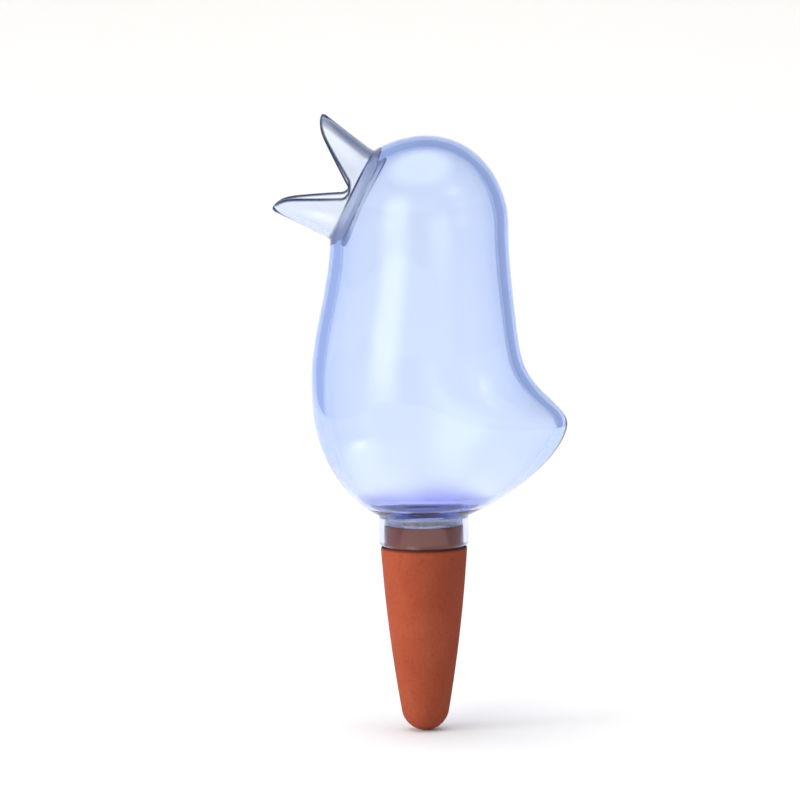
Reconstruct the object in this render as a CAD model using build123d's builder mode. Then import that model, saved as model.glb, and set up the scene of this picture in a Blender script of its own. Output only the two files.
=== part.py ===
from build123d import *

import math
import os

# Bird-shaped watering globe: a clear blue bird holds the water, its open beak is the filler,
# and a hollow terracotta spike plugs into its neck and lets the water seep into the soil.
# Millimetres. The origin is on the spike's axis at the soil line, which is the top of the
# spike's shoulder. +Z is up, the beak faces -X and the tail +X, and XZ is the mirror plane.

# Terracotta spike
spike_length = 54.4
shoulder_radius = 12.6
spike_tip_radius = 7.0
spike_side_bulge = 0.65
spike_wall = 3.6
spike_tip_wall = 5.0
spigot_radius = 11.6
spigot_length = 6.5

# Seal between the spigot's top and the ledge in the neck
seal_thickness = 3.2
seal_inset = 0.3
seal_edge = 0.5

# Neck of the bird: a socket with a ledge and a drain hole at its top
spigot_clearance = 0.1
neck_wall = 1.4
rim_gap = 0.4
rim_outer_edge = 0.9
rim_inner_edge = 0.3
ledge_thickness = 2.5
drain_radius = 6.0

# Bird: heights are above the soil line, reaches are from the spike's axis
head_radius = 26.0
head_top = 119.9
head_shift = -0.6
crown_shift = 2.0
belly_reach = 32.4
belly_height = 49.0
belly_half_depth = 28.5
throat_height = 90.0
rump_reach = 29.6
tail_reach = 42.2
tail_height = 35.4
tail_spread = 11.0
tail_pinch = 0.55
head_wall = 3.2
bowl_wall = 1.5
full_wall_height = 30.0

# Bowl under the bird: where it springs from inside the neck, and how full its curves are
bowl_root_inset = 2.0
bowl_root_depth = 3.6
breast_fullness = 2.5
breast_lift = 0.73
tail_fullness = 1.6
tail_lift = 0.83

# Beak: a short tube bonded into the head, flattened to a rounded bill and cut open by the mouth
beak_sink = 0.2
beak_drop = 1.3
beak_tilt = 28.5
beak_radius = 14.4
beak_wall = 1.5
beak_root_depth = 3.4
beak_collar = 1.9
beak_length = 18.7
beak_bond_gap = 0.05
upper_ridge = 17.2
lower_ridge = 14.9
bill_tip_width = 2.5
bill_fullness = 1.3
bill_tip_web = 1.6

# Mouth: its rounded corner, and how far each lip's edge has opened at the tip
mouth_corner = 3.2
mouth_corner_depth = 1.6
mouth_gap = 4.6
mouth_rise = 0.5
upper_opening = 12.7
lower_opening = 11.2
lip_turn = 2.2
lip_turn_power = 12

# Fineness of the skins: points round a section and steps between sections
section_points = 28
bowl_stations = (0.0, 0.05, 0.13, 0.25, 0.4, 0.58, 0.76, 0.9, 1.0)
back_stations = (0.06, 0.13, 0.21, 0.3, 0.42, 0.56, 0.7, 0.84, 1.0)
dome_angles = (14, 28, 42, 55, 67, 77, 85)
bill_stations = (0.0, 0.2, 0.42, 0.64, 0.8)
lip_stations = (0.0, 0.2, 0.4, 0.6, 0.75, 0.85, 0.92, 0.98, 1.04)

# Sizes that follow from those above
bore_radius = spigot_radius - spike_wall
socket_radius = spigot_radius + spigot_clearance
neck_radius = socket_radius + neck_wall
ledge_bottom = spigot_length + seal_thickness
ledge_top = ledge_bottom + ledge_thickness
bowl_root_radius = neck_radius - bowl_root_inset
bowl_root_height = ledge_top - bowl_root_depth
neck_top = ledge_top + bowl_wall / 2
head_height = head_top - head_radius
head_front = head_radius - head_shift
head_back = head_radius + head_shift
beak_hole_radius = beak_radius + beak_bond_gap
slope_step = 0.01


def smooth_step(share):
    """0 up to share 0, 1 from share 1, and level at both ends."""
    share = min(1.0, max(0.0, share))
    return share * share * (3 - 2 * share)


def between(height, low, high):
    """How far a height is on its way from low to high, as a share."""
    return min(1.0, max(0.0, (height - low) / (high - low)))


def bowl(height, top, reach, fullness, lift):
    """Reach of the bowl, from its root in the neck up to where it is fullest."""
    share = between(height, bowl_root_height, top)
    swell = (1 - (1 - share) ** fullness) ** lift
    return bowl_root_radius + (reach - bowl_root_radius) * swell


def breast(height, belly, head):
    """Reach that swells from the bowl's root to the belly, then draws in to the head."""
    if height < belly_height:
        return bowl(height, belly_height, belly, breast_fullness, breast_lift)
    return belly + (head - belly) * smooth_step(between(height, belly_height, throat_height))


def front_reach(height):
    return breast(height, belly_reach, head_front)


def half_depth(height):
    return breast(height, belly_half_depth, head_radius)


def back_reach(height):
    """The tail's underside up to its tip, then a bell-shaped tail on the leaning back."""
    if height < tail_height:
        return bowl(height, tail_height, tail_reach, tail_fullness, tail_lift)
    lean = smooth_step(between(height, head_height, tail_height))
    bell = math.exp(-(((height - tail_height) / tail_spread) ** 2))
    return head_back + (rump_reach - head_back) * lean + (tail_reach - rump_reach) * bell


def wall_at(height):
    """Wall of the bird: thin at the bottom of the bowl, thick higher up."""
    return bowl_wall + (head_wall - bowl_wall) * smooth_step(between(height, ledge_top, full_wall_height))


def inset(reach, height):
    """A reach taken in by the wall, measured square to the skin."""
    slope = (reach(height + slope_step) - reach(height - slope_step)) / (2 * slope_step)
    return reach(height) - wall_at(height) * math.sqrt(1 + slope**2)


def section(front, back, depth):
    """Points round one level section: a half circle in front, drawn out to the tail behind."""
    centre = depth - front
    length = back - centre
    pinch = tail_pinch * max(0.0, 1 - depth / length)
    points = []
    for index in range(section_points):
        angle = math.pi + 2 * math.pi * index / section_points
        along = math.cos(angle)
        reach = length if along > 0 else depth
        narrowing = 1 - pinch * along**2 if along > 0 else 1
        points.append((centre + reach * along, depth * math.sin(angle) * narrowing))
    return points


def outer_section(height):
    return section(front_reach(height), back_reach(height), half_depth(height))


def inner_section(height):
    return section(inset(front_reach, height), inset(back_reach, height), inset(half_depth, height))


def dome_centre(angle):
    """The head's centre line leans back towards the crown."""
    return head_shift + crown_shift * math.sin(math.radians(angle)) ** 3


def dome_section(radius, angle):
    """Points round the head at an angle above its widest level."""
    level = radius * math.cos(math.radians(angle))
    return section(level - dome_centre(angle), level + dome_centre(angle), level)


def skin_levels(floor):
    """Heights of the sections, from the floor to the widest level of the head."""
    below_tail = [floor + (tail_height - floor) * share for share in bowl_stations]
    above_tail = [tail_height + (head_height - tail_height) * share for share in back_stations]
    return below_tail + above_tail


def skin_sketches(levels, section_at, radius):
    """The level sections of one skin and of the dome that closes it."""
    sections = [(height, section_at(height)) for height in levels]
    for angle in dome_angles:
        height = head_height + radius * math.sin(math.radians(angle))
        sections.append((height, dome_section(radius, angle)))
    faces = []
    for height, points in sections:
        with BuildSketch(Plane.XY.offset(height)) as outline:
            with BuildLine():
                Spline(*points, periodic=True)
            make_face()
        faces.append(outline.sketch.face())
    return [*faces, Vertex(dome_centre(90), 0, head_height + radius)]


# The beak's seat: where a hole of its size meets the round head, sunk and dropped a little
tilt = math.radians(beak_tilt)
beak_seat = math.sqrt(head_radius**2 - beak_radius**2) - beak_sink
beak_plane = Plane(
    origin=(
        head_shift - beak_seat * math.cos(tilt) - beak_drop * math.sin(tilt),
        0,
        head_height + beak_seat * math.sin(tilt) - beak_drop * math.cos(tilt),
    ),
    x_dir=(math.sin(tilt), 0, math.cos(tilt)),
    z_dir=(-math.cos(tilt), 0, math.sin(tilt)),
)

# Bird: the blue reservoir, with its neck, ledge, drain hole and the hole for the beak
outer_skin = skin_sketches(skin_levels(bowl_root_height), outer_section, head_radius)
inner_skin = skin_sketches(skin_levels(ledge_top), inner_section, head_radius - head_wall)

with BuildPart() as bird_reservoir:
    loft(sections=outer_skin)
    with BuildSketch(Plane.XY.offset(rim_gap)):
        Circle(neck_radius)
    extrude(amount=neck_top - rim_gap)
    loft(sections=inner_skin, mode=Mode.SUBTRACT)
    with BuildSketch(Plane.XY.offset(rim_gap)):
        Circle(socket_radius)
    extrude(amount=ledge_bottom - rim_gap, mode=Mode.SUBTRACT)
    with BuildSketch(Plane.XY.offset(ledge_bottom)):
        Circle(drain_radius)
    extrude(amount=ledge_thickness, mode=Mode.SUBTRACT)
    with BuildSketch(beak_plane.offset(-head_radius / 2)):
        Circle(beak_hole_radius)
    extrude(amount=head_radius, mode=Mode.SUBTRACT)
    rim_edges = bird_reservoir.faces().sort_by(Axis.Z)[0].edges().sort_by(SortBy.RADIUS)
    fillet(rim_edges[-1], rim_outer_edge)
    rim_edges = bird_reservoir.faces().sort_by(Axis.Z)[0].edges().sort_by(SortBy.RADIUS)
    fillet(rim_edges[0], rim_inner_edge)

# Beak: the root tube and the hollow bill, then the mouth is cut out between the lips
bill_length = beak_length - beak_collar
bill_bore_end = 1 - bill_tip_web / bill_length
mouth_plane = Plane(origin=beak_plane.origin, x_dir=beak_plane.z_dir, z_dir=(0, 1, 0))
mouth_end = 1.5 * beak_length


def bill_sketch(share, wall):
    """Section of the bill at a share of its length: as tall as the ridges, narrowing to the tip."""
    top = beak_radius + (upper_ridge - beak_radius) * share - wall
    bottom = beak_radius + (lower_ridge - beak_radius) * share - wall
    narrowing = math.sqrt(1 - share**bill_fullness)
    width = bill_tip_width + (beak_radius - bill_tip_width) * narrowing - wall
    with BuildSketch(beak_plane.offset(beak_collar + bill_length * share)) as outline:
        with Locations(((top - bottom) / 2, 0)):
            Ellipse((top + bottom) / 2, width)
    return outline.sketch.face()


def lip_edge(opening):
    """Points along a lip's edge in the mouth plane: nearly straight, turning off at the tip."""
    side = math.copysign(1, opening)
    straight = abs(opening) - lip_turn
    points = []
    for share in lip_stations:
        offset = mouth_gap / 2 + straight * share + lip_turn * share**lip_turn_power
        along = mouth_corner + (beak_length - mouth_corner) * share
        points.append((along, mouth_rise + side * offset))
    return points


with BuildPart() as beak_spout:
    with BuildSketch(beak_plane.offset(-beak_root_depth)):
        Circle(beak_radius)
    extrude(amount=beak_root_depth + beak_collar)
    loft(sections=[bill_sketch(share, 0) for share in (*bill_stations, bill_bore_end, 1)])
    with BuildSketch(beak_plane.offset(-beak_root_depth)):
        Circle(beak_radius - beak_wall)
    extrude(amount=beak_root_depth + beak_collar, mode=Mode.SUBTRACT)
    bill_bore = [bill_sketch(share, beak_wall) for share in (*bill_stations, bill_bore_end)]
    loft(sections=bill_bore, mode=Mode.SUBTRACT)
    with BuildSketch(mouth_plane):
        with BuildLine():
            upper_edge = Spline(*lip_edge(upper_opening))
            lower_edge = Spline(*lip_edge(-lower_opening))
            corner = (mouth_corner - mouth_corner_depth, mouth_rise)
            ThreePointArc(upper_edge @ 0, corner, lower_edge @ 0)
            far_top = (mouth_end, (upper_edge @ 1).Y)
            far_bottom = (mouth_end, (lower_edge @ 1).Y)
            Polyline(upper_edge @ 1, far_top, far_bottom, lower_edge @ 1)
        make_face()
    extrude(amount=2 * beak_radius, both=True, mode=Mode.SUBTRACT)

# Seal: a flat soft washer that the ledge stands on
with BuildPart() as seal_ring:
    with BuildSketch(Plane.XY.offset(spigot_length)):
        Circle(spigot_radius - seal_inset)
        Circle(bore_radius, mode=Mode.SUBTRACT)
    extrude(amount=seal_thickness)
    fillet(seal_ring.edges().filter_by(GeomType.CIRCLE), seal_edge)

# Spike: a turned profile, hollow from the top of the spigot down to its round tip
tip_centre = -spike_length + spike_tip_radius
side_tilt = math.atan2(shoulder_radius - spike_tip_radius, -tip_centre)
tip_join = (spike_tip_radius * math.cos(side_tilt), tip_centre - spike_tip_radius * math.sin(side_tilt))
side_middle = (
    (shoulder_radius + tip_join[0]) / 2 + spike_side_bulge,
    tip_join[1] / 2,
)
bore_floor = -spike_length + spike_tip_wall
bore_tip_radius = spike_tip_radius - spike_wall
bore_tip_height = bore_floor + bore_tip_radius
half_turn = (math.radians(-90) - side_tilt) / 2
tip_middle = (
    spike_tip_radius * math.cos(half_turn),
    tip_centre + spike_tip_radius * math.sin(half_turn),
)

with BuildPart() as terracotta_spike:
    with BuildSketch(Plane.XZ):
        with BuildLine():
            Line((0, -spike_length), (0, spigot_length))
            Line((0, spigot_length), (spigot_radius, spigot_length))
            Line((spigot_radius, spigot_length), (spigot_radius, 0))
            Line((spigot_radius, 0), (shoulder_radius, 0))
            ThreePointArc((shoulder_radius, 0), side_middle, tip_join)
            ThreePointArc(tip_join, tip_middle, (0, -spike_length))
        make_face()
    revolve(axis=Axis.Z)
    with BuildSketch(Plane.XZ):
        with BuildLine():
            Polyline(
                (0, bore_floor),
                (0, spigot_length),
                (bore_radius, spigot_length),
                (bore_tip_radius, bore_tip_height),
            )
            RadiusArc((bore_tip_radius, bore_tip_height), (0, bore_floor), bore_tip_radius)
        make_face()
    revolve(axis=Axis.Z, mode=Mode.SUBTRACT)

# Each piece is written as its own file
pieces = {
    "bird_reservoir": bird_reservoir,
    "beak_spout": beak_spout,
    "seal_ring": seal_ring,
    "terracotta_spike": terracotta_spike,
}
os.makedirs("parts", exist_ok=True)
for name, piece in pieces.items():
    piece.part.label = name
    export_step(piece.part, f"parts/{name}.step")
    print(name, "solids", len(piece.part.solids()), "volume", round(piece.part.volume))
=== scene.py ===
import math

import bpy
import numpy as np
from mathutils import Matrix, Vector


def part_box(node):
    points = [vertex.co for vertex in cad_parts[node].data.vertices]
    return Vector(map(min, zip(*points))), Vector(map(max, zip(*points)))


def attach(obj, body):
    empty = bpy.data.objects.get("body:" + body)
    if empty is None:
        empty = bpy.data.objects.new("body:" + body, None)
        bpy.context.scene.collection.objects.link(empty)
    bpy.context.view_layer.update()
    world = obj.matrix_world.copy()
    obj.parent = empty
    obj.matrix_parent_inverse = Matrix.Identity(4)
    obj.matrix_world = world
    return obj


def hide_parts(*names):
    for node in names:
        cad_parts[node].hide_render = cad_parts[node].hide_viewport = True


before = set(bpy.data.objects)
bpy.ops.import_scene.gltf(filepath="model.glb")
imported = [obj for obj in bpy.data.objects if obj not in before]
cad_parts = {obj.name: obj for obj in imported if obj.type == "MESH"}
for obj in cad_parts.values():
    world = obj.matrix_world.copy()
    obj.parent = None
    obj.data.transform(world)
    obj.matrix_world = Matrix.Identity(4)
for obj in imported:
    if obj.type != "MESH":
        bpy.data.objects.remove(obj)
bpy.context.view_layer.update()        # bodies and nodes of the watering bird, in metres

mm = 0.001               # the settings below are in millimetres, as in the solids
print("frame loaded:", sorted(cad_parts))


# Shared curves and meshes

def smoothStep(share):
    # 0 up to share 0 and 1 from share 1, level at both ends: share squared times (3 - 2 share)
    share = np.clip(share, 0, 1)
    return share * share * (3 - 2 * share)


def between(value, low, high):
    # how far a value is on its way from low to high, as a share
    return np.clip((value - low) / (high - low), 0, 1)


def roundUnion(a, b, blend):
    # the larger of two radii, with a fillet: a quarter of the blend times the square of the share
    # of it by which they overlap is added
    overlap = np.maximum(blend - np.abs(a - b), 0) / blend
    return np.maximum(a, b) + overlap**2 * blend / 4


def arc(centre, radius, start, end, count=7):
    # profile points on a circle, from one angle to another in degrees
    turn = np.radians(np.linspace(start, end, count))
    return np.stack([centre[0] + radius * np.cos(turn), centre[1] + radius * np.sin(turn)], -1)


def run(start, end, count):
    # profile points on a straight line, both ends included
    share = np.linspace(0, 1, count)[:, None]
    return np.array(start) * (1 - share) + np.array(end) * share


def turned(profile, angle):
    # a profile of radius and height carried round the z axis: (r cos, r sin, z), rows by columns
    radius, height = profile[:, :1], profile[:, 1:]
    return np.stack([radius * np.cos(angle), radius * np.sin(angle), height + 0 * angle], -1)


def gridMesh(name, points, poles=None):
    # A grid of points, rows by columns, whose columns close round. With two poles each end is a
    # fan; without, the last row joins the first. The sign of the volume, which is the sum of the
    # triangles' triple products, tells which way round the faces are outward.
    rows, columns = points.shape[:2]
    index = np.arange(rows * columns).reshape(rows, columns)
    low = index if poles is None else index[:-1]
    high = np.roll(index, -1, 0) if poles is None else index[1:]
    quads = np.stack([low, np.roll(low, -1, 1), np.roll(high, -1, 1), high], -1).reshape(-1, 4)
    vertices = points.reshape(-1, 3)
    fans = np.empty((0, 3), int)
    if poles is not None:
        start, end = (np.full(columns, rows * columns + k) for k in (0, 1))
        fans = np.concatenate([
            np.stack([start, np.roll(index[0], -1), index[0]], -1),
            np.stack([end, index[-1], np.roll(index[-1], -1)], -1),
        ])
        vertices = np.concatenate([vertices, np.array(poles, float)])
    triangles = np.concatenate([quads[:, :3], quads[:, [0, 2, 3]], fans])
    a, b, c = (vertices[triangles[:, k]] for k in range(3))
    if np.sum(a * np.cross(b, c)) < 0:
        quads, fans = quads[:, ::-1], fans[:, ::-1]
    mesh = bpy.data.meshes.new(name)
    mesh.from_pydata((vertices * mm).tolist(), [], quads.tolist() + fans.tolist())
    piece = bpy.data.objects.new(name, mesh)
    bpy.context.scene.collection.objects.link(piece)
    return piece


def smoothFaces(piece, sharpAngle):
    # smooth shading that keeps edges sharper than the angle
    mesh = piece.data
    mesh.polygons.foreach_set("use_smooth", np.ones(len(mesh.polygons), bool))
    mesh.set_sharp_from_angle(angle=math.radians(sharpAngle))
    mesh.update()


def markFaces(piece, name, share):
    # an attribute with one value for each face, worked out from its middle
    middle = np.empty(3 * len(piece.data.polygons))
    piece.data.polygons.foreach_get("center", middle)
    values = share(middle.reshape(-1, 3) / mm).astype(float)
    piece.data.attributes.new(name, "FLOAT", "FACE").data.foreach_set("value", values)


def putInPlace(piece, body, node, material):
    # hands a finished piece to its body, in place of its solid
    piece.data.materials.append(material)
    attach(piece, body)
    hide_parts(node)
    print(piece.name, "has", len(piece.data.polygons), "faces, rides on", body)


# Shader maths

class Flow:
    # a shader socket; sums, differences and products of values add their Math nodes

    def __init__(self, tree, socket=None):
        self.tree = tree
        self.socket = socket

    def add(self, kind, settings=None, inputs=None, output=0):
        # a node with its settings made first, then a value or a link for each socket
        node = self.tree.nodes.new(kind)
        for setting, value in (settings or {}).items():
            setattr(node, setting, value)
        for name, value in (inputs or {}).items():
            if isinstance(value, Flow):
                self.tree.links.new(value.socket, node.inputs[name])
            else:
                node.inputs[name].default_value = value
        return Flow(self.tree, node.outputs[output] if node.outputs else None)

    def maths(self, operation, first, second):
        return self.add("ShaderNodeMath", {"operation": operation}, {0: first, 1: second})

    def __add__(self, other):
        return self.maths("ADD", self, other)

    def __radd__(self, other):
        return self.maths("ADD", other, self)

    def __sub__(self, other):
        return self.maths("SUBTRACT", self, other)

    def __rsub__(self, other):
        return self.maths("SUBTRACT", other, self)

    def __mul__(self, other):
        return self.maths("MULTIPLY", self, other)

    def __rmul__(self, other):
        return self.maths("MULTIPLY", other, self)

    def noise(self, where, scale, detail=3, roughness=0.5):
        inputs = {"Vector": where, "Scale": scale, "Detail": detail, "Roughness": roughness}
        return self.add("ShaderNodeTexNoise", None, inputs)

    def spread(self, low, high):
        # this value stretched so that low is 0 and high is 1, cut off outside
        inputs = {"Value": self, "From Min": low, "From Max": high}
        return self.add("ShaderNodeMapRange", {"clamp": True}, inputs)

    def window(self, low, high, fade):
        # 1 between low and high, falling smoothly to 0 over the fade on either side
        settings = {"interpolation_type": "SMOOTHSTEP", "clamp": True}
        rise, fall = ({"Value": self, "From Min": edge - fade, "From Max": edge + fade}
                      for edge in (low, high))
        rise = self.add("ShaderNodeMapRange", settings, rise)
        return rise - self.add("ShaderNodeMapRange", settings, fall)

    def mixed(self, first, second):
        # two colours, with this value as the share of the second
        settings = {"data_type": "RGBA", "blend_type": "MIX"}
        return self.add("ShaderNodeMix", settings, {"Factor": self, 6: first, 7: second}, 2)


def newMaterial(name):
    # an empty material, the flow that fills it and the object coordinates
    material = bpy.data.materials.new(name)
    material.use_nodes = True
    material.node_tree.nodes.clear()
    flow = Flow(material.node_tree)
    where = flow.add("ShaderNodeTexCoord", None, None, 3)
    return material, flow, where


def clearPlastic(name, look):
    # polished clear plastic: the tint is in the thickness, faint smears and flow marks on the skin, and
    # painted shade mixed in by the edge attribute
    material, flow, where = newMaterial(name)
    smear = flow.noise(where, look["smearScale"], 4).spread(*look["smearRange"])
    flowMark = flow.noise(where, look["flowScale"], 2)
    bump = flow.add("ShaderNodeBump", None, {
        "Strength": look["flowStrength"], "Distance": look["flowDepth"] * mm, "Height": flowMark})
    edge, frost = (flow.add("ShaderNodeAttribute", {"attribute_name": attribute}, None, 2)
                   for attribute in ("edge", "frost"))
    surface = flow.add("ShaderNodeBsdfPrincipled", None, {
        # the edge attribute mixes painted shade into the colour
        "Base Color": edge.mixed((*look["skin"], 1), (*look["paintedShade"], 1)),
        "Roughness": look["polish"] + look["smear"] * smear + look["frost"] * frost,
        "IOR": look["ior"],
        "Transmission Weight": 1.0,
        "Normal": bump,
    })
    tint = flow.add("ShaderNodeVolumeAbsorption", None, {
        "Color": (*look["tint"], 1), "Density": look["tintDensity"]})
    flow.add("ShaderNodeOutputMaterial", None, {"Surface": surface, "Volume": tint})
    return material


# Bird: the clear blue reservoir with its neck

birdLow, birdHigh = (np.array(corner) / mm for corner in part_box("bird_reservoir"))
bird = {
    "headRadius": 26.0, "headShift": -0.6, "crownShift": 2.0,      # head
    "bellyHeight": 49.0, "throatHeight": 90.0, "rumpReach": 29.6,  # breast and back
    "tailHeight": 35.4, "tailSpread": 11.0, "tailPinch": 0.55,     # tail
    "headWall": 3.2, "bowlWall": 1.5, "fullWallHeight": 30.0,      # walls
    "rootRadius": 11.1, "rootHeight": 8.6,                         # where the bowl springs
    "breastFullness": 2.5, "breastLift": 0.73,
    "tailFullness": 1.6, "tailLift": 0.83,
    "neckRadius": 13.1, "neckBlend": 1.0, "neckFoot": 6.0,         # neck and its rim
    "rimOuter": 0.9, "rimInner": 0.3,
    "socketRadius": 11.7, "ledgeBottom": 9.7, "ledgeTop": 12.2,    # socket and ledge
    "drainRadius": 6.0, "ledgeEdge": 0.3,
    "columns": 224, "domeRows": 44, "sharpAngle": 38,              # mesh
    "waist": 60.0, "bowlFoot": 24.0,                               # heights where the rows' pitch changes
    "outerRows": (40, 60, 58), "innerRows": (36, 56, 40), "fittingRows": (6, 8, 6),
    "neckGaps": (0.5, 0.3), "socketGaps": (0.4, 0.3),              # rows' distance from a run's two ends
    "ledgeRows": 7, "ledgeSpan": (0.1, 0.95),
    "polish": 0.0, "smear": 0.03, "smearScale": 60.0, "smearRange": (0.45, 0.75),    # finish
    "flowScale": 45.0, "flowStrength": 0.05, "flowDepth": 0.6, "frost": 0.35,
    "skin": (1.0, 1.0, 1.0), "paintedShade": (0.5, 0.52, 0.86), "ior": 1.47,
    "tint": (0.02, 0.36, 0.97), "tintDensity": 72.0,
    "rootShade": 1.0, "rootFade": (17.0, 22.0),                    # painted shade at the bowl's root and on the ledge
    "ledgeReach": 12.1, "ledgeBelow": 0.5, "ledgeAbove": 0.1,      # what counts as the ledge's faces
}
headTop, tailReach, bellyReach = birdHigh[2], birdHigh[0], -birdLow[0]
bellyDepth, rimHeight = birdHigh[1], birdLow[2]
headHeight = headTop - bird["headRadius"]
headFront = bird["headRadius"] - bird["headShift"]
headBack = bird["headRadius"] + bird["headShift"]


def bowl(height, top, reach, fullness, lift):
    # from the root in the neck the reach swells by (1 - (1 - share) ^ fullness) ^ lift
    share = between(height, bird["rootHeight"], top)
    swell = (1 - (1 - share)**fullness)**lift
    return bird["rootRadius"] + (reach - bird["rootRadius"]) * swell


def breast(height, belly, head):
    # the bowl up to the belly, then a smooth step in to the head
    low = bowl(height, bird["bellyHeight"], belly, bird["breastFullness"], bird["breastLift"])
    rise = smoothStep(between(height, bird["bellyHeight"], bird["throatHeight"]))
    return np.where(height < bird["bellyHeight"], low, belly + (head - belly) * rise)


def frontReach(height):
    # how far the skin is in front of the axis: the breast's curve from the belly to the head's front
    return breast(height, bellyReach, headFront)


def halfDepth(height):
    # how far it is to either side: the same curve from the belly's half width to the head's radius
    return breast(height, bellyDepth, bird["headRadius"])


def backReach(height):
    # the tail's underside is a bowl; above its tip the back leans in with a bell curve on it
    low = bowl(height, bird["tailHeight"], tailReach, bird["tailFullness"], bird["tailLift"])
    lean = smoothStep(between(height, headHeight, bird["tailHeight"]))
    bell = np.exp(-((height - bird["tailHeight"]) / bird["tailSpread"])**2)
    rump = bird["rumpReach"]
    high = headBack + (rump - headBack) * lean + (tailReach - rump) * bell
    return np.where(height < bird["tailHeight"], low, high)


def takenIn(reach, height):
    # a reach less the wall, which is measured square to the skin: wall times sqrt(1 + slope^2)
    step = 0.01
    slope = (reach(height + step) - reach(height - step)) / (2 * step)
    share = smoothStep(between(height, bird["ledgeTop"], bird["fullWallHeight"]))
    wall = bird["bowlWall"] + (bird["headWall"] - bird["bowlWall"]) * share
    return reach(height) - wall * np.sqrt(1 + slope**2)


def section(front, back, depth, height, angle):
    # level sections: a half circle in front, and behind it an ellipse drawn out to the tail and
    # pinched by the square of the cosine; rows of sizes by columns of angles
    centre = depth - front
    length = back - centre
    pinch = bird["tailPinch"] * np.maximum(0, 1 - depth / length)
    along = np.cos(angle)
    x = centre + np.where(along > 0, length, depth) * along
    y = depth * np.sin(angle) * np.where(along > 0, 1 - pinch * along**2, 1)
    return np.stack([x, y, height + 0 * x], -1)


def outerSkin(height, angle):
    # level sections of the three reaches
    return section(frontReach(height), backReach(height), halfDepth(height), height, angle)


def innerSkin(height, angle):
    # level sections of the three reaches, each taken in by the wall
    reaches = (takenIn(reach, height) for reach in (frontReach, backReach, halfDepth))
    return section(*reaches, height, angle)


def dome(radius, rise, angle):
    # rings of the round head at angles above its widest level; its centre leans back by sine cubed
    level = radius * np.cos(rise)
    lean = bird["headShift"] + bird["crownShift"] * np.sin(rise)**3
    return section(level - lean, level + lean, level, headHeight + radius * np.sin(rise), angle)


def birdGrid():
    # from the crown down the outside, round the rim, up the socket, through the drain hole and
    # up the inside to the crown again
    angle = np.linspace(0, 2 * np.pi, bird["columns"], endpoint=False)[None, :]
    rise = np.radians(np.linspace(90, 0, bird["domeRows"] + 1))[1:-1, None]
    waist, foot = bird["waist"], bird["bowlFoot"]
    high, middle, low = bird["outerRows"]
    body = np.concatenate([
        np.linspace(headHeight, waist, high, endpoint=False),
        np.linspace(waist, foot, middle, endpoint=False),
        np.linspace(foot, bird["neckFoot"], low),
    ])[:, None]
    outside = outerSkin(body, angle)
    across = np.hypot(outside[..., 0], outside[..., 1])
    outside[..., :2] *= (roundUnion(across, bird["neckRadius"], bird["neckBlend"]) / across)[..., None]
    rim, lip, edge = bird["rimOuter"], bird["rimInner"], bird["ledgeEdge"]
    neck, socket, drain = bird["neckRadius"], bird["socketRadius"], bird["drainRadius"]
    under, over = bird["ledgeBottom"], bird["ledgeTop"]
    (neckStart, neckEnd), (start, end) = bird["neckGaps"], bird["socketGaps"]
    neckRows, socketRows, underRows = bird["fittingRows"]
    profile = np.concatenate([
        run((neck, bird["neckFoot"] - neckStart), (neck, rimHeight + rim + neckEnd), neckRows),
        arc((neck - rim, rimHeight + rim), rim, 0, -90),
        arc((socket + lip, rimHeight + lip), lip, -90, -180),
        run((socket, rimHeight + lip + start), (socket, under - edge - end), socketRows),
        arc((socket - edge, under - edge), edge, 0, 90),
        run((socket - edge - start, under), (drain + edge + end, under), underRows),
        arc((drain + edge, under + edge), edge, -90, -180),
        arc((drain + edge, over - edge), edge, 180, 90),
    ])
    fitting = turned(profile, angle)
    share = np.linspace(*bird["ledgeSpan"], bird["ledgeRows"])[:, None, None]
    ledge = fitting[-1:] * (1 - share) + innerSkin(np.array([[over]]), angle) * share
    high, middle, low = bird["innerRows"]
    inside = innerSkin(np.concatenate([
        np.linspace(over, foot, low, endpoint=False),
        np.linspace(foot, waist, middle, endpoint=False),
        np.linspace(waist, headHeight, high),
    ])[:, None], angle)
    outerDome = dome(bird["headRadius"], rise, angle)
    innerDome = dome(bird["headRadius"] - bird["headWall"], rise[::-1], angle)
    crown = bird["headShift"] + bird["crownShift"]
    poles = [(crown, 0, headTop), (crown, 0, headTop - bird["headWall"])]
    rows = np.concatenate([outerDome, outside, fitting, ledge, inside, innerDome])
    return gridMesh("bird_body", rows, poles)


# Beak: a tube bonded into the head, flattened to a rounded bill and cut open by the mouth

beak = {
    "sink": 0.2, "drop": 1.3, "tilt": 28.5,                        # its seat in the head
    "radius": 14.4, "wall": 1.5, "bond": 0.03,                     # tube, and its grip in the hole
    "collar": 1.9, "length": 18.7,
    "upperRidge": 17.2, "lowerRidge": 14.9,                        # bill
    "tipWidth": 2.5, "fullness": 1.3, "tipSpan": 1.5, "tipDrop": 1.3,
    "corner": 3.2, "cornerDepth": 1.6, "gap": 4.6, "rise": 0.5,    # mouth
    "upperOpening": 12.7, "lowerOpening": 11.2, "turn": 2.2, "turnPower": 12,
    "rimRound": 0.4,
    "edgeCore": 0.8, "edgeFade": 0.5,                              # painted shade on the edges, for the dark look of the thick clear edges
    "ridgeCore": 24.0, "ridgeFade": 8.0, "ridgeShare": 0.5,
    "columns": 256, "holeColumns": 192, "sharpAngle": 50,          # mesh
    "rootRows": 10, "billRows": 60, "rootPart": 0.3, "rimRows": 9, "edgeTries": 30,
    "polish": 0.0, "smear": 0.02, "smearScale": 90.0, "smearRange": (0.45, 0.75),    # finish
    "flowScale": 60.0, "flowStrength": 0.05, "flowDepth": 0.4,
    "frost": 0.4, "frostFade": (-0.3, 0.5),
    "skin": (1.0, 1.0, 1.0), "paintedShade": (0.03, 0.04, 0.12), "ior": 1.47,
    "tint": (0.3, 0.5, 0.85), "tintDensity": 140.0,
}
beakTilt = math.radians(beak["tilt"])
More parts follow.
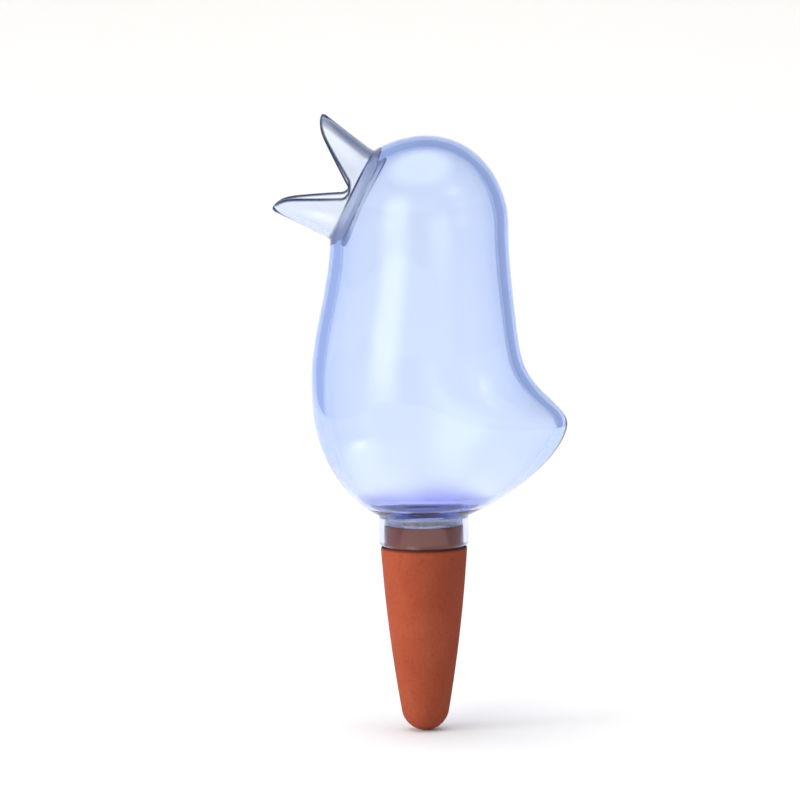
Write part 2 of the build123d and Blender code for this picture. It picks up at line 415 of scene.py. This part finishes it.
beakOut = np.array([-math.cos(beakTilt), 0, math.sin(beakTilt)])
beakUp = np.array([math.sin(beakTilt), 0, math.cos(beakTilt)])
beakSide = np.array([0.0, 1.0, 0.0])
beakSeat = math.sqrt(bird["headRadius"]**2 - beak["radius"]**2) - beak["sink"]
beakOrigin = np.array([bird["headShift"], 0, headHeight]) + beakSeat * beakOut - beak["drop"] * beakUp
holeReach = bird["headRadius"] / 2       # how far the hole is cut and looked for along the beak's axis


def inBeakFrame(out, up, side):
    # from the beak's own directions to the object's frame
    return beakOrigin + out[..., None] * beakOut + up[..., None] * beakUp + side[..., None] * beakSide


def billSize(out, wall):
    # centre, half height and half width of the bill's section at a distance out: the ridges run
    # straight from the tube to the tip, where a quarter ellipse rounds them off, and the width
    # falls as sqrt(1 - share ^ fullness)
    share = between(out, beak["collar"], beak["length"])
    near = between(out, beak["length"] - beak["tipSpan"], beak["length"])
    taken = wall + beak["tipDrop"] * (1 - np.sqrt(1 - near**2))
    top = beak["radius"] + (beak["upperRidge"] - beak["radius"]) * share - taken
    bottom = beak["radius"] + (beak["lowerRidge"] - beak["radius"]) * share - taken
    narrowing = np.sqrt(1 - share**beak["fullness"])
    width = beak["tipWidth"] + (beak["radius"] - beak["tipWidth"]) * narrowing - wall
    return (top - bottom) / 2, (top + bottom) / 2, width


def mouthOut(up):
    # how far out the mouth's edge is at a height: a round corner, then each lip's edge, whose
    # height is a straight rise plus a turn that grows with a high power towards the tip
    share = np.linspace(0, 1.1, 400)     # a little past the tip
    along = beak["corner"] + (beak["length"] - beak["corner"]) * share
    half = beak["gap"] / 2
    bend = beak["turn"] * share**beak["turnPower"]
    upper = half + (beak["upperOpening"] - beak["turn"]) * share + bend
    lower = half + (beak["lowerOpening"] - beak["turn"]) * share + bend
    above = up - beak["rise"]
    depth = beak["cornerDepth"]
    radius = (half**2 + depth**2) / (2 * depth)
    corner = beak["corner"] - depth + radius - np.sqrt(np.maximum(radius**2 - above**2, 0))
    edge = np.where(above > 0, np.interp(above, upper, along), np.interp(-above, lower, along))
    return np.where(np.abs(above) < half, corner, edge)


def billEdge(angle, wall):
    # the distance out at which each line along the bill meets the mouth: each try is the mean of
    # the last one and of the mouth's edge at its height
    out = np.full_like(angle, beak["corner"])
    for step in range(beak["edgeTries"]):
        centre, height, width = billSize(out, wall)
        out = 0.5 * out + 0.5 * np.minimum(mouthOut(centre + height * np.cos(angle)), beak["length"])
    return out


def billSkin(angle, out, wall):
    # an ellipse of the section's half height and half width round its centre
    centre, height, width = billSize(out, wall)
    return inBeakFrame(out, centre + height * np.cos(angle), width * np.sin(angle))


def rootEnd(angle, wall):
    # how far in each line of the tube ends, flush with the head's inside: the reach of a sphere of
    # the head's inner radius along the line, less the seat
    radius = beak["radius"] - wall
    up, side = radius * np.cos(angle) - beak["drop"], radius * np.sin(angle)
    return np.sqrt((bird["headRadius"] - bird["headWall"])**2 - up**2 - side**2) - beakSeat


def beakGrid():
    # outside from the root to the mouth's edge, round the edge by a half circle between the two
    # skins, and back along the inside to the root
    angle = np.linspace(0, 2 * np.pi, beak["columns"], endpoint=False)[None, :]
    wall, back = beak["wall"], beak["rimRound"]
    share = np.concatenate([
        np.linspace(0, beak["rootPart"], beak["rootRows"], endpoint=False),
        np.linspace(beak["rootPart"], 1, beak["billRows"]),
    ])[:, None]
    outerEdge = billEdge(angle, 0) - back
    innerEdge = billEdge(angle, wall) - back
    outerRoot, innerRoot = rootEnd(angle, 0), rootEnd(angle, wall)
    outside = billSkin(angle, outerRoot + (outerEdge - outerRoot) * share, 0)
    inside = billSkin(angle, innerRoot + (innerEdge - innerRoot) * share[::-1], wall)
    ahead = (outside[-1] - outside[-2]) + (inside[0] - inside[1])
    ahead /= np.linalg.norm(ahead, axis=-1, keepdims=True)
    middle, half = (outside[-1] + inside[0]) / 2, (outside[-1] - inside[0]) / 2
    reach = np.minimum(np.linalg.norm(half, axis=-1, keepdims=True), back)
    turn = np.linspace(0, np.pi, beak["rimRows"] + 2)[1:-1, None, None]
    rim = middle + half * np.cos(turn) + ahead * reach * np.sin(turn)
    grid = np.concatenate([outside, rim, inside])
    piece = gridMesh("beak", grid)
    crest = rim[len(rim) // 2]
    # painted shade on the lips and ridge, kept in the edge attribute
    piece.data.attributes.new("edge", "FLOAT", "POINT").data.foreach_set(
        "value", edgeShadeShare(grid, crest, angle).ravel())
    return piece


def edgeShadeShare(grid, crest, angle):
    # how much painted shade darkens the edge, standing in for the dark look of the thick clear edges:
    # full within a core round the nearest point of the lips' crest, and less along the upper ridge within
    # an angle of it, both falling off by a smooth step
    away = np.array([np.sqrt(((row[:, None] - crest)**2).sum(-1).min(1)) for row in grid])
    lips = 1 - smoothStep((away - beak["edgeCore"]) / beak["edgeFade"])
    fromRidge = np.degrees(np.abs((angle + np.pi) % (2 * np.pi) - np.pi))
    ridge = 1 - smoothStep((fromRidge - beak["ridgeCore"]) / beak["ridgeFade"])
    return np.maximum(lips, beak["ridgeShare"] * ridge)


def cutHole(piece, radius):
    # takes a round hole along the beak's axis out of a piece
    angle = np.linspace(0, 2 * np.pi, beak["holeColumns"], endpoint=False)[None, :]
    out = np.array([[-holeReach], [holeReach]]) + 0 * angle
    up, side = (radius * curve(angle) + 0 * out for curve in (np.cos, np.sin))
    poles = [beakOrigin - holeReach * beakOut, beakOrigin + holeReach * beakOut]
    cutter = gridMesh("hole_cutter", inBeakFrame(out, up, side), poles)
    cut = piece.modifiers.new("beak hole", "BOOLEAN")
    cut.operation, cut.solver, cut.object = "DIFFERENCE", "EXACT", cutter
    whole = piece.data
    piece.data = bpy.data.meshes.new_from_object(
        piece.evaluated_get(bpy.context.evaluated_depsgraph_get()))
    piece.modifiers.clear()
    bpy.data.meshes.remove(whole)
    bpy.data.objects.remove(cutter)


def onLedge(middle):
    # whether a face is the ledge's: near the axis and between the ledge's two heights
    near = np.hypot(middle[:, 0], middle[:, 1]) < bird["ledgeReach"]
    low, high = bird["ledgeBottom"] - bird["ledgeBelow"], bird["ledgeTop"] + bird["ledgeAbove"]
    return near & (middle[:, 2] > low) & (middle[:, 2] < high)


def birdFrost(middle):
    # the hole's bonded wall, within the beak's radius of its axis, and the ledge are rough
    apart = middle - beakOrigin
    along = apart @ beakOut
    fromAxis = np.linalg.norm(apart - along[:, None] * beakOut, axis=1)
    hole = (fromAxis < beak["radius"]) & (along > -holeReach)
    return hole | onLedge(middle)


def rootShade(middle):
    # painted shade: the ledge takes it in full, and on the bowl's root above it it fades out by a smooth
    # step of the distance from the axis
    across = np.hypot(middle[:, 0], middle[:, 1])
    root = (middle[:, 2] > bird["ledgeTop"]) & (middle[:, 2] < bird["fullWallHeight"])
    fade = bird["rootShade"] * (1 - smoothStep(between(across, *bird["rootFade"])))
    return np.where(root, fade, onLedge(middle))


def beakFrost(middle):
    # the bonded root is rough, and clears towards the bill by a smooth step
    return 1 - smoothStep(between((middle - beakOrigin) @ beakOut, *beak["frostFade"]))


birdBody = birdGrid()
cutHole(birdBody, beak["radius"] - beak["bond"])
smoothFaces(birdBody, bird["sharpAngle"])
markFaces(birdBody, "frost", birdFrost)
# painted shade on the ledge and the bowl's root, kept in the edge attribute
markFaces(birdBody, "edge", rootShade)
putInPlace(birdBody, "bird", "bird_reservoir", clearPlastic("clear blue plastic", bird))

beakPiece = beakGrid()
smoothFaces(beakPiece, beak["sharpAngle"])
markFaces(beakPiece, "frost", beakFrost)
putInPlace(beakPiece, "bird", "beak_spout", clearPlastic("clear plastic", beak))


# Seal: a soft washer between the spigot and the ledge

sealLow, sealHigh = (np.array(corner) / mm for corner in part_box("seal_ring"))
seal = {
    "bore": 8.0, "edge": 0.5, "columns": 128, "sharpAngle": 40,
    "colour": (0.86, 0.83, 0.95), "dusty": (0.93, 0.91, 0.98), "roughness": 0.2,    # finish
    "ior": 1.41, "clear": 0.85,
    "dustScale": 220.0, "dustRange": (0.4, 0.7), "dustRoughness": 0.15,
    "dustStrength": 0.1, "dustDepth": 0.1,
}


def sealGrid():
    # a rectangle with rounded corners carried round the axis
    inner, outer, low, high = seal["bore"], sealHigh[0], sealLow[2], sealHigh[2]
    edge = seal["edge"]
    profile = np.concatenate([
        arc((outer - edge, low + edge), edge, -90, 0),
        arc((outer - edge, high - edge), edge, 0, 90),
        arc((inner + edge, high - edge), edge, 90, 180),
        arc((inner + edge, low + edge), edge, 180, 270),
    ])
    angle = np.linspace(0, 2 * np.pi, seal["columns"], endpoint=False)[None, :]
    return gridMesh("seal", turned(profile, angle))


def softSeal(name):
    # cloudy clear silicone with a dusty bloom
    material, flow, where = newMaterial(name)
    dust = flow.noise(where, seal["dustScale"], 4).spread(*seal["dustRange"])
    bump = flow.add("ShaderNodeBump", None, {
        "Strength": seal["dustStrength"], "Distance": seal["dustDepth"] * mm, "Height": dust})
    surface = flow.add("ShaderNodeBsdfPrincipled", None, {
        "Base Color": dust.mixed((*seal["colour"], 1), (*seal["dusty"], 1)),
        "Roughness": seal["roughness"] + seal["dustRoughness"] * dust,
        "IOR": seal["ior"],
        "Transmission Weight": seal["clear"],
        "Normal": bump,
    })
    flow.add("ShaderNodeOutputMaterial", None, {"Surface": surface})
    return material


sealPiece = sealGrid()
smoothFaces(sealPiece, seal["sharpAngle"])
putInPlace(sealPiece, "seal", "seal_ring", softSeal("soft seal"))


# Spike: hollow fired clay with a spigot

spikeLow, spikeHigh = (np.array(corner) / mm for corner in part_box("terracotta_spike"))
spike = {
    "tipRadius": 7.0, "bulge": 0.65, "wall": 3.6, "tipWall": 5.0, "spigot": 11.6,
    "shoulderEdge": 0.7, "rootFillet": 0.3, "spigotEdge": 0.6, "boreEdge": 0.5,
    "shoulderTurn": (15, 90), "boreEndTurn": (-8, -80),            # degrees
    "columns": 192, "noseRows": 22, "sideRows": 60, "sharpAngle": 40,                  # mesh
    "filletRows": 5, "spigotRows": 8, "boreRows": 40, "boreEndRows": 9,
    "spigotGaps": (0.5, 0.3), "boreGap": 0.5,                      # rows' distance from a run's ends
    "clay": (0.290, 0.053, 0.022), "pale": (0.335, 0.073, 0.033),                      # finish
    "dark": (0.185, 0.031, 0.013), "cloudScale": 70.0, "cloudRange": (0.3, 0.7), "cloudRoughness": 0.1,
    "gritScale": 1500.0, "gritRange": (0.45, 0.75), "gritShare": 0.5, "gritHeight": 0.7,
    "poreScale": 900.0, "poreRange": (0.62, 0.72), "poreShare": 0.35, "poreDepth": 0.5,
    "lineScale": 1400.0, "lineStretch": 0.04, "lineHeight": 0.3,
    # a painted shadow line: a dark band in height where the neck's rim meets the shoulder
    "paintedShadow": (0.1, 0.026, 0.016), "shadowLine": (-0.5, 0.9), "shadowFade": 0.4, "shadowShare": 0.7,
    "grain": 0.45, "grainDepth": 0.15, "roughness": 0.86, "specular": 0.2,
}


def spikeGrid():
    # round tip, sides that bulge by a parabola, shoulder, spigot, then down the tapered bore
    length, shoulder, top = -spikeLow[2], spikeHigh[0], spikeHigh[2]
    tip, spigot, edge = spike["tipRadius"], spike["spigot"], spike["shoulderEdge"]
    centre = -length + tip
    lean = math.degrees(math.atan2(shoulder - tip, -centre))
    nose = arc((0, centre), tip, -90, -lean, spike["noseRows"])[1:]
    share = np.linspace(0, 1, spike["sideRows"])[1:, None]
    side = nose[-1] * (1 - share) + np.array([shoulder, -edge]) * share
    side[:, 0] += (4 * spike["bulge"] * share * (1 - share))[:, 0]
    fillet, spigotEdge, boreEdge = spike["rootFillet"], spike["spigotEdge"], spike["boreEdge"]
    bore, floor, boreTip = spigot - spike["wall"], -length + spike["tipWall"], tip - spike["wall"]
    start, end = spike["spigotGaps"]
    profile = np.concatenate([
        nose, side,
        arc((shoulder - edge, -edge), edge, *spike["shoulderTurn"]),
        arc((spigot + fillet, fillet), fillet, -90, -180, spike["filletRows"]),
        run((spigot, fillet + start), (spigot, top - spigotEdge - end), spike["spigotRows"]),
        arc((spigot - spigotEdge, top - spigotEdge), spigotEdge, 0, 90),
        arc((bore + boreEdge, top - boreEdge), boreEdge, 90, 180),
        run((bore, top - boreEdge - spike["boreGap"]), (boreTip, floor + boreTip), spike["boreRows"]),
        arc((0, floor + boreTip), boreTip, *spike["boreEndTurn"], spike["boreEndRows"]),
    ])
    profile[:, 0] = np.minimum(profile[:, 0], shoulder)
    angle = np.linspace(0, 2 * np.pi, spike["columns"], endpoint=False)[None, :]
    return gridMesh("spike", turned(profile, angle), [(0, 0, -length), (0, 0, floor)])


def firedClay(name):
    # unglazed clay: cloudy shades, fine grit and pores, faint turning lines, and a painted shadow line at
    # the neck's rim
    material, flow, where = newMaterial(name)
    cloud = flow.noise(where, spike["cloudScale"], 3).spread(*spike["cloudRange"])
    grit = flow.noise(where, spike["gritScale"], 4, 0.7)
    pores = flow.noise(where, spike["poreScale"], 2).spread(*spike["poreRange"])
    stretch = spike["lineStretch"]
    turning = flow.add("ShaderNodeMapping", None, {"Vector": where, "Scale": (stretch, stretch, 1.0)})
    lines = flow.noise(turning, spike["lineScale"], 2)
    level = flow.add("ShaderNodeSeparateXYZ", None, {0: where}, 2) * (1 / mm)
    # painted shadow: the clay is darkened in a band round the shoulder's top, under the neck's rim
    paintedShadow = level.window(*spike["shadowLine"], spike["shadowFade"])
    base = cloud.mixed((*spike["clay"], 1), (*spike["pale"], 1))
    speckle = spike["gritShare"] * grit.spread(*spike["gritRange"])
    speckled = speckle.mixed(base, (*spike["dark"], 1))
    pitted = (spike["poreShare"] * pores).mixed(speckled, (*spike["dark"], 1))
    colour = (spike["shadowShare"] * paintedShadow).mixed(pitted, (*spike["paintedShadow"], 1))
    height = spike["gritHeight"] * grit + spike["lineHeight"] * lines - spike["poreDepth"] * pores
    bump = flow.add("ShaderNodeBump", None, {
        "Strength": spike["grain"], "Distance": spike["grainDepth"] * mm, "Height": height})
    surface = flow.add("ShaderNodeBsdfPrincipled", None, {
        "Base Color": colour,
        "Roughness": spike["roughness"] + spike["cloudRoughness"] * cloud,
        "Specular IOR Level": spike["specular"],
        "Normal": bump,
    })
    flow.add("ShaderNodeOutputMaterial", None, {"Surface": surface})
    return material


spikePiece = spikeGrid()
smoothFaces(spikePiece, spike["sharpAngle"])
putInPlace(spikePiece, "spike", "terracotta_spike", firedClay("fired clay"))


# Floor: a strip of pale paper that sweeps up behind, under the spike's tip

paper = {
    "halfWidth": 380.0, "near": -600.0, "bend": 650.0, "bendRadius": 350.0, "top": 450.0,
    "cells": 10, "rows": (12, 24, 6), "rowGap": 1.0,               # mesh
    "paint": (0.92, 0.89, 0.815), "faded": (0.935, 0.905, 0.83),   # finish
    "fadeScale": 3.0, "fadeRange": (0.3, 0.7), "roughness": 0.8, "specular": 0.1,
}


def paperGrid():
    # a floor line, a quarter circle and a wall line, drawn out sideways
    ground, radius = spikeLow[2], paper["bendRadius"]
    bend, wall, gap = paper["bend"], paper["bend"] + radius, paper["rowGap"]
    floorRows, bendRows, wallRows = paper["rows"]
    profile = np.concatenate([
        run((paper["near"], ground), (bend - gap, ground), floorRows),
        arc((bend, ground + radius), radius, -90, 0, bendRows),
        run((wall, ground + radius + gap), (wall, paper["top"]), wallRows),
    ])
    across = np.linspace(-paper["halfWidth"], paper["halfWidth"], paper["cells"] + 1)[None, :]
    along, height = profile[:, :1], profile[:, 1:]
    points = np.stack([across + 0 * along, along + 0 * across, height + 0 * across], -1)
    index = np.arange(points[..., 0].size).reshape(points.shape[:2])
    quads = np.stack([index[:-1, :-1], index[:-1, 1:], index[1:, 1:], index[1:, :-1]], -1).reshape(-1, 4)
    mesh = bpy.data.meshes.new("paper")
    mesh.from_pydata((points.reshape(-1, 3) * mm).tolist(), [], quads.tolist())
    mesh.polygons.foreach_set("use_smooth", np.ones(len(mesh.polygons), bool))
    sheet = bpy.data.objects.new("paper", mesh)
    bpy.context.scene.collection.objects.link(sheet)
    return sheet


def palePaint(name):
    # matt paper, faded unevenly
    material, flow, where = newMaterial(name)
    faded = flow.noise(where, paper["fadeScale"], 3).spread(*paper["fadeRange"])
    surface = flow.add("ShaderNodeBsdfPrincipled", None, {
        "Base Color": faded.mixed((*paper["paint"], 1), (*paper["faded"], 1)),
        "Roughness": paper["roughness"],
        "Specular IOR Level": paper["specular"],
    })
    flow.add("ShaderNodeOutputMaterial", None, {"Surface": surface})
    return material


sheet = paperGrid()
sheet.data.materials.append(palePaint("pale paper"))
print("paper laid")


# Light: a dim room round the paper, with soft boxes whose edges fade out, and a lamp for the clay

light = {
    "front": (0.34, 0.36, 0.42), "sides": (0.48, 0.53, 0.68), "leftGain": 0.3, "blend": 0.7,
    "bounces": 32, "glossyBounces": 24,
    "boxes": [
        # turn from the camera's side and height, both in degrees, fade and added radiance
        {"turn": (-400, 400), "height": (62, 200), "fade": 12, "radiance": 2.4},   # overhead
        {"turn": (-49, -17), "height": (-10, 40), "fade": 12, "radiance": 2.6},    # left of the camera
        {"turn": (54, 76), "height": (0, 45), "fade": 6, "radiance": 0.5},         # right
    ],
}


def paintWorld():
    # the room's colour goes from front to sides with y, and each box is a window in turn and height
    world = bpy.data.worlds.new("studio")
    world.use_nodes = True
    world.node_tree.nodes.clear()
    flow = Flow(world.node_tree)
    where = flow.add("ShaderNodeTexCoord")
    x, y, z = (flow.add("ShaderNodeSeparateXYZ", None, {0: where}, axis) for axis in range(3))
    turn = flow.maths("ARCTAN2", x, -1 * y) * (180 / math.pi)
    height = flow.maths("ARCSINE", z, 0.0) * (180 / math.pi)
    room = y.spread(-light["blend"], 0.0).mixed((*light["front"], 1), (*light["sides"], 1))
    gain = 1 + light["leftGain"] * (-1 * x).spread(0.0, light["blend"])
    boxes = 0.0
    for box in light["boxes"]:
        shape = turn.window(*box["turn"], box["fade"]) * height.window(*box["height"], box["fade"])
        boxes = boxes + box["radiance"] * shape
    dim = flow.add("ShaderNodeBackground", None, {"Color": room, "Strength": gain})
    bright = flow.add("ShaderNodeBackground", None, {"Color": (1, 1, 1, 1), "Strength": boxes})
    sky = flow.add("ShaderNodeAddShader", None, {0: dim, 1: bright})
    flow.add("ShaderNodeOutputWorld", None, {"Surface": sky})
    bpy.context.scene.world = world


def placed(thing, place, right, up, back):
    # puts a lamp or camera, which looks along minus its back, at a place in metres
    turn = np.eye(4)
    turn[:3, :3] = np.stack([right, up, back], -1)
    turn[:3, 3] = place
    thing.matrix_world = Matrix(turn.tolist())
    bpy.context.scene.collection.objects.link(thing)


clayLamp = {"place": (-188.0, -68.0, 0.0), "target": (0.0, 0.0, -25.0), "size": 90.0, "power": 0.24}


def hangLamp():
    # a soft lamp low on the left that the clear plastic neither mirrors nor passes on
    disc = bpy.data.lights.new("clay lamp", "AREA")
    disc.shape, disc.size, disc.energy = "DISK", clayLamp["size"] * mm, clayLamp["power"]
    back = np.subtract(clayLamp["place"], clayLamp["target"])
    back /= np.linalg.norm(back)
    right = np.cross((0, 0, 1), back)
    right /= np.linalg.norm(right)
    lamp = bpy.data.objects.new("clay lamp", disc)
    placed(lamp, np.array(clayLamp["place"]) * mm, right, np.cross(back, right), back)
    lamp.visible_glossy = lamp.visible_transmission = lamp.visible_camera = False


paintWorld()
hangLamp()
bpy.context.scene.view_settings.view_transform = "Standard"
cycles = bpy.context.scene.cycles        # light is passed on many times inside the clear walls
cycles.max_bounces = cycles.transmission_bounces = light["bounces"]
cycles.glossy_bounces = light["glossyBounces"]
print("soft boxes:", len(light["boxes"]), "and a lamp")


# Camera

camera = {
    "pitch": 6.3, "roll": 0.55, "distance": 1456.5, "lookAt": (-6.61, 0.0, 42.93),
    "frame": 800, "focal": 5000,     # picture width and focal length, in pixels
    "clipEnd": 20.0,                 # metres
}
pitch, roll = math.radians(camera["pitch"]), math.radians(camera["roll"])
forward = np.array([0, math.cos(pitch), -math.sin(pitch)])
level, upright = np.array([1.0, 0, 0]), np.array([0, math.sin(pitch), math.cos(pitch)])
cameraRight = level * math.cos(roll) - upright * math.sin(roll)
cameraUp = upright * math.cos(roll) + level * math.sin(roll)
lens = bpy.data.cameras.new("camera")
lens.angle = 2 * math.atan(camera["frame"] / 2 / camera["focal"])
lens.clip_end = camera["clipEnd"]
eye = bpy.data.objects.new("camera", lens)
cameraPlace = (np.array(camera["lookAt"]) - forward * camera["distance"]) * mm
placed(eye, cameraPlace, cameraRight, cameraUp, -forward)
bpy.context.scene.camera = eye
print("camera", camera["distance"], "mm away")

bpy.context.view_layer.update()
